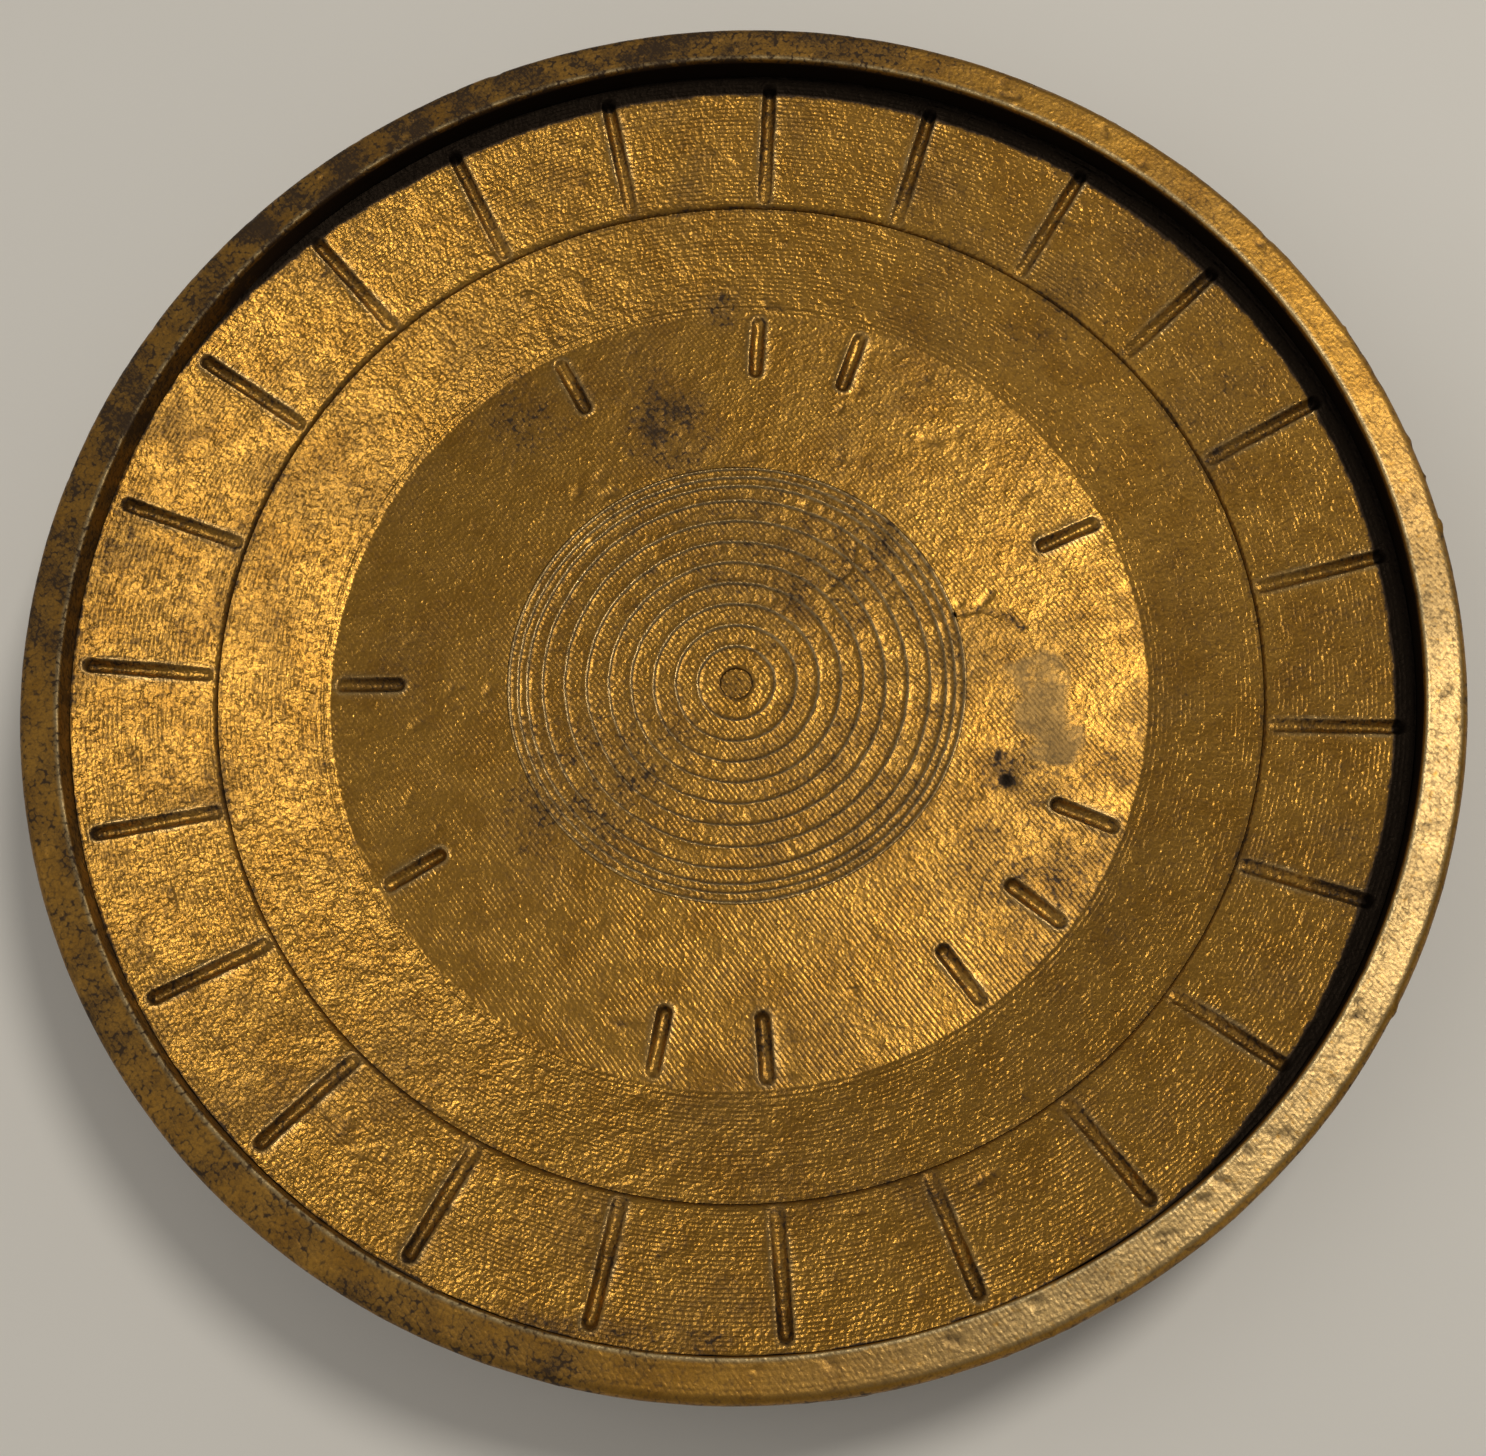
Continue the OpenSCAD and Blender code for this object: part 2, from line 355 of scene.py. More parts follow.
def blotches(points):
    """Dark, pitted patches of patina on the face and round the dial, at given places."""
    dark = 0.95 * near(points, (-9.5, 30), 8.5)
    dark = np.maximum(dark, 0.75 * near(points, (-4, 45), 4.5))
    dark = np.maximum(dark, 0.6 * near(points, (-27, 30), 9))
    dark = np.maximum(dark, 0.85 * near(points, (29.5, -9.5), 4))
    dark = np.maximum(dark, 0.3 * near(points, (34, -7), 8))
    dark = np.maximum(dark, 0.6 * near(points, (-20, -16), 8))
    dark = np.maximum(dark, 0.7 * near_line(points, (-19, -68.5), (3, -69.5), 2.4))
    dark = np.maximum(dark, 0.85 * near(points, (-12, -73), 4.5))
    dark = np.maximum(dark, 0.6 * near(points, (-4, -71), 4))
    return dark


def matte_patch(points):
    """The dull grey patch right of the stepped centre."""
    shift = np.stack([noise(points, 1.6, 31), noise(points, 1.6, 32), np.zeros(points.shape[:-1])], -1)
    return 0.6 * ease(0.12, 0.6, near_line(points + 1.3 * shift, (33, 1.5), (34.5, -4.5), 4.8))


def cracks(points):
    """Fine cracks beside the stepped centre."""
    lines = [((23.5, 8.5), (26.5, 9.3)), ((26.5, 9.3), (29.5, 8.6)), ((29.5, 8.6), (31, 7.2)),
             ((26, 9.2), (27.5, 11.2)), ((9.5, 11), (12, 13.5)), ((12, 13.5), (12.4, 16.5))]
    depth = np.zeros(points.shape[:-1])
    for start, end in lines:
        depth = np.maximum(depth, near_line(points, start, end, 0.42))
    return depth


def edge_burrs(points, height, spacing, seed):
    """Small lumps that hang on an edge, on the dial's right side."""
    lumps = ease(0.55, 0.95, noise(points, spacing, seed))
    return lumps * ease(95, 40, apart(angle_of(points), -20)) * height


# ---------------------------------------------------------------- pieces

BAR_OFFSETS = (-1.25, -1.05, -0.93, -0.84, -0.72, -0.6, -0.3, 0, 0.3, 0.6, 0.72, 0.84, 0.93, 1.05, 1.25)


def cut_bars(points, angles, start, end, width, inner_depth, outer_depth, seed):
    """Depth, painted shade on the walls and floor, and lip height of the radial bars cut into the top."""
    half = width / 2
    depth = np.zeros(points.shape[:-1])
    dark = np.zeros(points.shape[:-1])
    lip = np.zeros(points.shape[:-1])
    for k, angle in enumerate(angles):
        wander = 0.05 * noise(points, 2.2, seed + k)
        outside, along = capsule(points, angle, start, end, half)
        outside = outside + wander
        share = np.clip((along - start) / (end - start), 0, 1)
        floor = inner_depth + (outer_depth - inner_depth) * share
        floor = floor + 0.06 * noise(points, 0.9, seed + 40)
        depth = np.maximum(depth, floor * ease(0.06, -0.6, outside))
        # Painted shade: darker on the bar's floor and along its walls, where shade falls in the cut.
        by_wall = ease(-0.5, -0.12, outside) * ease(0.1, -0.04, outside)
        shade = 0.38 * ease(0.1, -0.1, outside) + 0.4 * by_wall
        dark = np.maximum(dark, shade * (0.35 + 0.85 * np.clip(floor, 0, 1)))
        lip = np.maximum(lip, ease(0.4, 0.1, np.abs(outside - 0.12)) * np.clip(floor * 2, 0, 1))
    return depth, dark, lip * (0.05 + 0.05 * noise(points, 1.8, seed + 60))


def make_chapter_ring(material):
    start = STEP_R + GAP
    pitch = LAYER / RING_SLOPE
    rows = [(start, STEP_Z - 0.02), (start + 0.05, STEP_Z + 0.16), (start + 0.12, STEP_Z + 0.31),
            (start + 0.24, RING_IN_Z + 0.02)]
    rows += [(r, RING_IN_Z + RING_SLOPE * (r - STEP_R)) for r in spread(start + 0.5, WALL_R - 0.1, pitch / 3)]
    top_rows = len(rows) + 1
    end, skin = WALL_R - 0.1, 2.8
    rib_in, rib_out = 61.2, 66.8
    under_z = STEP_Z - FLANGE_DROP + GAP
    rows += [(end, RING_HIGH[2]), (end, RING_HIGH[2] - skin),
             (rib_out, RING_IN_Z + RING_SLOPE * (rib_out - STEP_R) - skin), (rib_out, RING_LOW[2]),
             (rib_in, RING_LOW[2]), (rib_in, under_z), (start, under_z)]
    angles = [groove_angle(k) for k in range(1, GROOVES + 1)]
    columns = featured_columns(angles, BAR_OFFSETS, 0.64)
    points, normal = turned(rows, columns)
    radius = np.hypot(points[..., 0], points[..., 1])
    top = np.zeros(radius.shape)
    top[:top_rows] = 1
    calm = top * ease(start, start + 0.6, radius)
    lift = calm * (cast_skin(points, 1) + 0.2 * print_steps(radius, STEP_R, RING_SLOPE))
    hollow, pit_dark = pits(points, 120, STEP_R + 1, WALL_R - 1, 3)
    lift -= top * hollow
    groove_w, inner_depth, outer_depth = 1.6, 0.22, 1.05
    depth, dark, lip = cut_bars(points, angles, STEP_R + 0.35, WALL_R - 1,
                                groove_w, inner_depth, outer_depth, 20)
    drop = top * (depth * ease(start, start + 0.25, radius) - lip)
    edge_wander = 0.09 * noise(points, 2.6, 9) * ease(STEP_R + 1.4, STEP_R, radius) * top
    points = points + normal * lift[..., None]
    points[..., 2] -= drop
    points[..., 2] += edge_wander
    # The grooves' painted shade goes into the grime mark, with the pits and the patina.
    grime_and_shade = np.maximum(dark, 0.8 * pit_dark)
    grime_and_shade = np.maximum(grime_and_shade, blotches(points) * 0.8)
    # Painted shadow: a black band along the foot of the rim's wall, widest on the side the rim shades,
    # carried in the grime mark above 1 as soot.
    shadow_r = WALL_R - 0.2 - 2.0 * ease(110, 70, apart(angle_of(points), SHADE_ANGLE))
    shadow_r = shadow_r + 0.14 * layered(points, 1.1, 27, 2)
    grime_and_shade = np.maximum(grime_and_shade, 2 * ease(shadow_r - 0.2, shadow_r + 0.4, radius))
    # Painted shade: the ring darker towards its left side.
    grime_and_shade = np.maximum(grime_and_shade, 0.2 * near(points, (-66, 2), 30))
    grime_and_shade = np.maximum(grime_and_shade, 0.5 * ease(STEP_R + 0.35, STEP_R + 0.1, radius))
    wear_and_highlight = np.clip(lip * 6, 0, 1)
    marks = np.stack([grime_and_shade, np.zeros(radius.shape), wear_and_highlight], -1)
    piece = solid("chapter_ring_cast", points, marks)
    holes = [(*at, RING_LOW[2] - 0.5, RING_LOW[2] + 3.3, TAP_R) for at in screw_places(RING_SCREW_R)]
    drill(piece, holes + [(*RING_PIN, 9.7, 11.5, RING_PIN_R)])
    finish_piece(piece, "chapter_ring", material)


def make_dial_plate(material):
    seat_r = DISH_R + 0.3 + GAP
    slot_in, slot_out = 36.4, FACE_R - 0.7
    pitch = LAYER / BAND_SLOPE
    radii = spread(seat_r, slot_in - 1, 0.45) + spread(slot_in - 1, slot_in + 1.3, 0.16)
    radii += spread(slot_in + 1.3, slot_out - 1.1, 0.45) + spread(slot_out - 1.1, FACE_R, 0.17)
    band = spread(FACE_R, STEP_R, pitch / 3)
    rows = [(r, FACE_Z) for r in radii] + [(r, FACE_Z + BAND_SLOPE * (r - FACE_R)) for r in band]
    rows += [(STEP_R, STEP_Z)]
    top_rows = len(rows)
    hub_r, floor_r = HUB_R + GAP, 45.8
    ledge_z = FACE_Z - LEDGE_H
    flange_top = STEP_Z - FLANGE_DROP
    flange_low = flange_top - FLANGE_H
    rows += [(STEP_R, flange_top), (FLANGE_R, flange_top), (FLANGE_R, flange_low), (STEP_R + 0.1, flange_low),
             (floor_r, FLOOR_Z), (hub_r, FLOOR_Z), (hub_r, ledge_z), (seat_r, ledge_z)]
    angles = [groove_angle(k) for k in SLOT_AT]
    columns = featured_columns(angles, BAR_OFFSETS, 0.74)
    points, normal = turned(rows, columns)
    radius = np.hypot(points[..., 0], points[..., 1])
    top = np.zeros(radius.shape)
    top[:top_rows] = 1
    on_band = ease(FACE_R - 0.1, FACE_R + 0.3, radius)
    calm = top * ease(seat_r, seat_r + 0.5, radius) * ease(STEP_R, STEP_R - 0.8, radius)
    lift = calm * cast_skin(points, 31, 0.05, 0.035) * (0.45 + 0.75 * on_band)
    lift += calm * on_band * 0.25 * print_steps(radius, FACE_R, BAND_SLOPE)
    lift += calm * bead(points, radius, FACE_R + 0.05, 0.09, 35)
    lift += calm * bead(points, radius, FACE_R + 0.7, 0.05, 36)
    hollow, pit_dark = pits(points, 130, DISH_R + 1, STEP_R - 1, 5)
    crack = cracks(points)
    rotten = near(points, (-9, 29.5), 8) * ease(0.1, 0.8, noise(points, 1.0, 44))
    lift -= top * (hollow + 0.16 * crack + 0.12 * rotten)
    pock = (29.6, -10)
    lift -= top * 0.2 * near(points, pock, 1.3)
    slot_w, inner_depth, outer_depth = 1.7, 0.9, 0.35
    depth, dark, lip = cut_bars(points, angles, slot_in, slot_out, slot_w, inner_depth, outer_depth, 80)
    points = points + normal * lift[..., None]
    points[..., 2] -= top * (depth - lip)
    # The slots' painted shade goes into the grime mark, with the pits and the patina.
    grime_and_shade = np.maximum(0.85 * dark, 0.8 * pit_dark)
    grime_and_shade = np.maximum(grime_and_shade, blotches(points))
    grime_and_shade = np.maximum(grime_and_shade, 0.9 * crack)
    grime_and_shade = np.maximum(grime_and_shade, 2.6 * near(points, pock, 1.5))
    grime_and_shade = np.maximum(grime_and_shade, 2 * near_line(points, (28.9, -7), (28.7, -7.7), 0.5))
    grime_and_shade = np.maximum(grime_and_shade, 0.35 * near(points, (33, -20), 16))
    grime_and_shade = np.maximum(grime_and_shade, 0.4 * ease(STEP_R - 0.5, STEP_R - 0.1, radius))
    wear_and_highlight = np.clip(lip * 6, 0, 1)
    marks = np.stack([grime_and_shade, matte_patch(points), wear_and_highlight], -1)
    piece = solid("dial_plate_cast", points, marks)
    drill(piece, [(*PLATE_PIN, FLOOR_Z - 0.5, FLOOR_Z + 1.8, PLATE_PIN_R),
                  (*RING_PIN, flange_top - 1.2, flange_top + 0.5, RING_PIN_R)])
    finish_piece(piece, "dial_plate", material)


def dish_steps():
    """(radius of the edge, height below it) for each step, from the lip inwards."""
    lip_w, plug_r, equal = 3.7, 1.75, 8
    first = DISH_R - lip_w
    edges = [DISH_R, DISH_R - 1.0, DISH_R - 2.0]
    edges += [plug_r + (first - plug_r) * (equal - k) / equal for k in range(equal)]
    return [(r, FACE_Z - LAYER * (k + 1)) for k, r in enumerate(edges)]


def make_centre_dish(material):
    steps = dish_steps()
    bore_r = PLUG_HIGH[0] + 0.02
    spigot_r, tap_r = 5, 1.7
    rows = [(tap_r, DISH_LOW[2]), (tap_r, PLUG_LOW[2]), (bore_r, PLUG_LOW[2]), (bore_r, steps[-1][1] - 0.12)]
    under_rows = len(rows)
    inner = bore_r + 0.08
    riser = 0.48
    for edge_r, low in reversed(steps):
        rows += [(r, low) for r in spread(inner, edge_r - 0.12, 0.36)]
        rows += [(edge_r - 0.11, low - 0.01), (edge_r - 0.02, low + LAYER * 0.3)]
        rows += [(edge_r + 0.08, low + LAYER * 0.8)]
        rows += [(edge_r + r, low + LAYER) for r in (0.17, 0.26, 0.35) if edge_r < DISH_R]
        inner = edge_r + riser
    rows += [(DISH_R + 0.2, FACE_Z), (DISH_R + 0.3, FACE_Z - 0.03)]
    top_rows = len(rows)
    rows += [(DISH_R + 0.3, FACE_Z - LEDGE_H), (HUB_R, FACE_Z - LEDGE_H), (HUB_R, FLOOR_Z),
             (spigot_r, FLOOR_Z), (spigot_r, DISH_LOW[2])]
    points, normal = turned(rows, plain_columns(640))
    radius = np.hypot(points[..., 0], points[..., 1])
    top = np.zeros(radius.shape)
    top[under_rows:top_rows] = 1
    calm = top * ease(DISH_R + 0.3, DISH_R - 0.2, radius)
    wander = calm * 0.1 * noise(points, 5.5, 91) * ease(2, 5, radius)
    unit = points[..., :2] / radius[..., None]
    points[..., :2] += unit * (wander + calm * 0.05 * noise(points, 1.2, 92))[..., None]
    lift = calm * cast_skin(points, 95, 0.03, 0.025)
    for edge_r, _ in steps:
        lift += calm * bead(points, radius, edge_r + 0.24, 0.05, 97)
    hollow, pit_dark = pits(points, 30, 3, DISH_R - 1, 8)
    crack = cracks(points)
    lift -= top * (0.8 * hollow + 0.14 * crack)
    points = points + normal * lift[..., None]
    grime_and_shade = np.maximum(0.8 * pit_dark, 0.9 * crack)
    for edge_r, _ in steps:
        grime_and_shade = np.maximum(grime_and_shade, 0.3 * ease(0.3, 0.05, np.abs(radius - edge_r + 0.14)))
    grime_and_shade = np.maximum(grime_and_shade, blotches(points))
    grime_and_shade = np.maximum(grime_and_shade, 0.9 * ease(bore_r + 0.25, bore_r, radius))
    angle = angle_of(points)
    # Painted shade: the dish darker all over, and darker still in two fan-shaped sectors, lower left and
    # upper right, where its concentric lines turn their sheen away.
    fan_shade = ease(35, 8, apart(angle, 217)) * ease(4, 9, radius) + 0.8 * ease(30, 8, apart(angle, 44))
    grime_and_shade = np.maximum(grime_and_shade, (0.15 + 0.3 * fan_shade) * ease(3, 7, radius))
    wear_and_highlight = np.zeros(radius.shape)
    for edge_r, _ in steps:
        wear_and_highlight = np.maximum(wear_and_highlight, 0.7 * ease(0.22, 0.04, np.abs(radius - edge_r - 0.1)))
    marks = np.stack([grime_and_shade, np.zeros(radius.shape), wear_and_highlight], -1)
    piece = solid("centre_dish_cast", points, marks)
    finish_piece(piece, "centre_dish", material)


def make_centre_plug(material):
    top_r = PLUG_HIGH[0]
    rows = [(0.02, PLUG_HIGH[2])] + [(r, PLUG_HIGH[2]) for r in spread(0.06, top_r - 0.1, 0.05)]
    top_rows = len(rows)
    rows += [(top_r - 0.04, PLUG_HIGH[2] - 0.02), (top_r, PLUG_HIGH[2] - 0.1), (top_r, PLUG_LOW[2]),
             (0.02, PLUG_LOW[2])]
    points, normal = turned(rows, plain_columns(180))
    across = points[..., 0] * math.cos(math.radians(HATCH_ANGLE))
    across += points[..., 1] * math.sin(math.radians(HATCH_ANGLE))
    ridge = np.abs(np.sin(math.pi * across / LINE))
    top = np.zeros(ridge.shape)
    top[:top_rows] = 1
    lift = top * (0.07 * ridge - 0.06 + 0.02 * noise(points, 0.4, 3))
    points = points + normal * lift[..., None]
    marks = np.stack([0.55 - 0.4 * ridge, np.zeros(ridge.shape), np.zeros(ridge.shape)], -1)
    piece = solid("centre_plug_cast", points, marks)
    finish_piece(piece, "centre_plug", material)


def make_rim_ring(material):
    rows = [(WALL_R, SEAT_Z), (WALL_R, 15)]
    rows += [(WALL_R, z) for z in spread(15.5, RIM_Z - 0.35, 0.25)]
    rows += [(WALL_R + 0.02, RIM_Z - 0.24), (WALL_R + 0.08, RIM_Z - 0.08), (WALL_R + 0.22, RIM_Z)]
    rows += [(r, RIM_Z) for r in spread(WALL_R + 0.4, OUTER_R - 0.9, 0.16)]
    rows += [(OUTER_R - 0.75, RIM_Z - 0.02), (OUTER_R - 0.5, RIM_Z - 0.12)]
    rows += [(OUTER_R - 0.25, RIM_Z - 0.33), (OUTER_R - 0.08, RIM_Z - 0.6)]
    rows += [(OUTER_R, z) for z in spread(RIM_Z - 0.85, SEAT_Z + 0.05, 0.25)]
    rows += [(OUTER_R, SEAT_Z)]
    points, normal = turned(rows, plain_columns(1100))
    radius = np.hypot(points[..., 0], points[..., 1])
    height = points[..., 2].copy()
    seat = ease(SEAT_Z, SEAT_Z + 0.5, height)
    lift = seat * cast_skin(points, 51, 0.03, 0.012)
    flat = ease(RIM_Z - 0.1, RIM_Z - 0.02, height)
    for k, at in enumerate((WALL_R + 0.45, WALL_R + 0.95, OUTER_R - 1.5, OUTER_R - 1.0)):
        lift += flat * bead(points, radius, at, 0.025, 53 + k)
    outer_edge = ease(OUTER_R - 0.8, OUTER_R - 0.2, radius) * ease(RIM_Z - 2.5, RIM_Z - 0.3, height)
    lift += outer_edge * edge_burrs(points, 0.22, 1.3, 57)
    hollow, pit_dark = pits(points, 70, WALL_R + 0.5, OUTER_R - 0.5, 12)
    lift -= flat * 0.8 * hollow
    wall_flaw = (1 - flat) * seat * ease(0.45, 0.9, noise(points, 2.3, 61))
    lift -= 0.12 * wall_flaw
    inside = ease(WALL_R + 0.3, WALL_R + 0.1, radius)
    lift = np.where(inside > 0.5, lift * 0.5, lift)
    points = points + normal * lift[..., None]
    angle = angle_of(points) % 360
    grime_and_shade = np.maximum(0.8 * flat * pit_dark, 0.5 * wall_flaw)
    # The inner wall: dark patina all round, with painted shade that turns it black on the side the rim
    # shades.
    shaded = ease(115, 75, apart(angle, SHADE_ANGLE))
    grime_and_shade = np.maximum(grime_and_shade, (0.7 + 1.2 * shaded) * inside * ease(RIM_Z - 0.15, RIM_Z - 0.9, height))
    grime_and_shade = np.maximum(grime_and_shade, blotches(points))
    # Painted shade: the rim darker from the top round the left side to the bottom, strongest at the upper
    # left, where its top faces away from the light.
    dark_side_shade = ease(62, 88, angle) * (0.58 + 0.42 * ease(200, 150, angle)) * ease(290, 240, angle)
    grime_and_shade = np.maximum(grime_and_shade, dark_side_shade * (0.95 + 0.1 * layered(points, 5, 66)))
    grime_and_shade = np.maximum(grime_and_shade, ease(OUTER_R - 0.5, OUTER_R, radius) * (0.6 + 0.15 * noise(points, 6, 67)))
    wear_and_highlight = flat * ease(0.4, 0.05, np.abs(radius - WALL_R - 0.3)) * 0.9
    # Painted highlight: the rim's top paler on its right, where the light falls.
    wear_and_highlight = np.maximum(wear_and_highlight, flat * ease(60, 30, apart(angle, -30)) * 0.6)
    marks = np.stack([grime_and_shade, np.zeros(radius.shape), wear_and_highlight], -1)
    piece = solid("rim_ring_cast", points, marks)
    drill(piece, [(*at, SEAT_Z - 0.5, SEAT_Z + 5, TAP_R) for at in screw_places(RIM_SCREW_R)])
    finish_piece(piece, "rim_ring", material)


def make_dish_body(material):
    foot_h, foot_in, foot_r = 0.8, 38, 44.5
    bore_r, washer_r, washer_z = 5.05, 7.4, 2.2
    flange_z = SEAT_Z - 3
    # The inside, hidden by the dial plate and the chapter ring
    corners = [(bore_r, FLOOR_Z), (46.6, FLOOR_Z), (56.6, 8.0), (56.6, 8.4), (61, 8.4), (61, 9.6)]
    corners += [(67, 9.6), (67, 11.5), (WALL_R - 0.3, SEAT_Z - 0.3), (WALL_R - 0.3, SEAT_Z)]
    rows = corners + [(OUTER_R, SEAT_Z)]
    rows += [(OUTER_R, z) for z in spread(SEAT_Z - 0.05, flange_z + 0.5, 0.25)]
    rows += [(OUTER_R - 0.05, flange_z + 0.25), (OUTER_R - 0.2, flange_z + 0.08), (OUTER_R - 0.45, flange_z)]
    rows += [(r, flange_z) for r in spread(OUTER_R - 0.9, WALL_R - 0.5, 0.6)]
    rows += [(WALL_R - 0.8, flange_z - 0.06), (WALL_R - 1.15, flange_z - 0.5)]
    rows += [(WALL_R - 1.5, flange_z - 1.6)]
    slope = (flange_z - 1.9 - 0.9) / (WALL_R - 1.6 - foot_r - 1.7)
    rows += [(r, 0.9 + slope * (r - foot_r - 1.7)) for r in spread(WALL_R - 1.6, foot_r + 1.8, 0.5)]
    rows += [(foot_r + 1.4, 0.7), (foot_r + 0.7, 0.2), (foot_r, 0.02)]
    rows += [(r, 0) for r in spread(foot_r - 0.4, foot_in + foot_h, 0.7)]
    rows += [(foot_in + foot_h - 0.1, 0.05), (foot_in + 0.3, 0.5), (foot_in, foot_h - 0.03)]
    rows += [(r, foot_h) for r in spread(foot_in - 0.4, washer_r + 0.1, 0.6)]
    rows += [(washer_r, foot_h + 0.1), (washer_r, washer_z), (bore_r, washer_z)]
    points, normal = turned(rows, plain_columns(520))
    radius = np.hypot(points[..., 0], points[..., 1])
    height = points[..., 2].copy()
    outside = np.zeros(radius.shape)
    outside[len(corners):-3] = 1
    resting = (radius > foot_in) * (radius < foot_r + 1.2) * (height < 0.6)
    calm = outside * np.where(resting, 0, 1) * ease(SEAT_Z, SEAT_Z - 0.5, height)
    lift = calm * cast_skin(points, 71, 0.08, 0.05)
    lift += calm * 0.8 * print_steps(radius, foot_r, slope) * (radius > foot_r + 2)
    points = points + normal * lift[..., None]
    grime_and_shade = outside * (0.55 + 0.15 * layered(points, 11, 74))
    throat = ease(WALL_R + 0.4, WALL_R - 0.6, radius) * ease(WALL_R - 3, WALL_R - 1, radius)
    grime_and_shade = np.maximum(grime_and_shade, 0.8 * throat)
    wear_and_highlight = 0.5 * resting
    marks = np.stack([grime_and_shade, np.zeros(radius.shape), wear_and_highlight], -1)
    piece = solid("dish_body_cast", points, marks)
    rim_at, ring_at = screw_places(RIM_SCREW_R), screw_places(RING_SCREW_R)
    clear_r, head_r, bolt_r, bolt_circle_r = 1.35, 2.05, 2.1, 30
    holes = [(*polar(bolt_circle_r, 90 + 120 * k), -1, FLOOR_Z + 1, bolt_r) for k in range(3)]
    holes += [(*at, 8, SEAT_Z + 0.5, clear_r) for at in rim_at]
    holes += [(*at, -1, 10.5, clear_r) for at in ring_at]
    holes += [(*PLATE_PIN, FLOOR_Z - 1.6, FLOOR_Z + 1, PLATE_PIN_R)]
    drill(piece, holes)
    drill(piece, [(*at, 7, 11.7, head_r) for at in rim_at] + [(*at, -1, 8.2, head_r) for at in ring_at])
    finish_piece(piece, "dish_body", material)


# ---------------------------------------------------------------- materials


class Graph:
    """Builds a node material with short calls. An input is a socket or a number."""

    def __init__(self, name):
        self.material = bpy.data.materials.new(name)
        self.material.use_nodes = True
        self.tree = self.material.node_tree
        self.shader = self.tree.nodes["Principled BSDF"]

    def link(self, value, socket):
        if isinstance(value, bpy.types.NodeSocket):
            self.tree.links.new(value, socket)
        else:
            socket.default_value = value

    def math(self, operation, *values, clamp=False):
        node = self.tree.nodes.new("ShaderNodeMath")
        node.operation = operation
        node.use_clamp = clamp
        for value, socket in zip(values, node.inputs):
            self.link(value, socket)
        return node.outputs[0]

    def vector(self, operation, *values):
        node = self.tree.nodes.new("ShaderNodeVectorMath")
        node.operation = operation
        for value, socket in zip(values, node.inputs):
            self.link(value, socket)
        is_number = operation in ("DOT_PRODUCT", "LENGTH")
        return node.outputs["Value" if is_number else "Vector"]

    def places(self):
        """Object coordinates in millimetres."""
        node = self.tree.nodes.new("ShaderNodeTexCoord")
        return self.vector("MULTIPLY", node.outputs["Object"], (1 / MM,) * 3)

    def noise(self, places, size, detail=2.0, rough=0.55):
        """Noise from 0 to 1 with features about size mm across."""
        node = self.tree.nodes.new("ShaderNodeTexNoise")
        self.link(places, node.inputs["Vector"])
        node.inputs["Scale"].default_value = 1 / size
        node.inputs["Detail"].default_value = detail
        node.inputs["Roughness"].default_value = rough
        return node.outputs["Fac"]

    def cells(self, places, size):
        """Rounded grains about size mm across, from 0 in the gaps to 1 on top."""
        node = self.tree.nodes.new("ShaderNodeTexVoronoi")
        node.feature = "F1"
        self.link(places, node.inputs["Vector"])
        node.inputs["Scale"].default_value = 1 / size
        return self.math("SUBTRACT", 1.0, node.outputs["Distance"])

    def radius(self, places):
        """Distance from the dial's axis in millimetres."""
        return self.vector("LENGTH", self.vector("MULTIPLY", places, (1, 1, 0)))

    def step(self, value, low, high):
        """0 below low, 1 above high, smooth between them."""
        node = self.tree.nodes.new("ShaderNodeMapRange")
        node.interpolation_type = "SMOOTHSTEP"
        self.link(value, node.inputs["Value"])
        node.inputs["From Min"].default_value = low
        node.inputs["From Max"].default_value = high
        return node.outputs["Result"]

    def mix(self, share, a, b):
        node = self.tree.nodes.new("ShaderNodeMix")
        node.data_type = "RGBA"
        self.link(share, node.inputs["Factor"])
        self.link(a if isinstance(a, bpy.types.NodeSocket) else (*a, 1), node.inputs[6])
        self.link(b if isinstance(b, bpy.types.NodeSocket) else (*b, 1), node.inputs[7])
        return node.outputs[2]

    def bump(self, height):
        """Bump from a height in millimetres."""
        node = self.tree.nodes.new("ShaderNodeBump")
        node.inputs["Strength"].default_value = 1
        node.inputs["Distance"].default_value = MM
        self.link(height, node.inputs["Height"])
        return node.outputs["Normal"]


def hatch_lines(g, places):
    """Ridges of the diagonal print lines, from 0 to 1."""
    turn = math.radians(HATCH_ANGLE)
    across = g.vector("DOT_PRODUCT", places, (math.cos(turn), math.sin(turn), 0))
    bent = g.math("MULTIPLY_ADD", g.noise(places, 3.0, 1), 0.25, across)
    return g.math("ABSOLUTE", g.math("SINE", g.math("MULTIPLY", bent, math.pi / LINE)))


def ring_lines(g, places, pitch):
    """Ridges of the concentric print lines, from 0 to 1."""
    radius = g.math("MULTIPLY_ADD", g.noise(places, 2.5, 1), 0.2, g.radius(places))
    return g.math("ABSOLUTE", g.math("SINE", g.math("MULTIPLY", radius, math.pi / pitch)))


def level_lines(g, places):
    """Ridges of the print layers on upright walls, from 0 to 1."""
    height = g.vector("DOT_PRODUCT", places, (0, 0, 1))
    return g.math("ABSOLUTE", g.math("SINE", g.math("MULTIPLY", height, math.pi / (2 * LAYER))))


GOLD = (0.45, 0.238, 0.042)
TAN = (0.37, 0.186, 0.029)
# BROWN darkens for dirt and painted shade, SOOT_AND_SHADOW blackens for soot and painted shadow, PALE
# lightens for wear and painted highlight.
BROWN = (0.050, 0.028, 0.012)
SOOT_AND_SHADOW = (0.014, 0.010, 0.007)
PALE = (0.48, 0.37, 0.19)
DULL = (0.36, 0.235, 0.09)


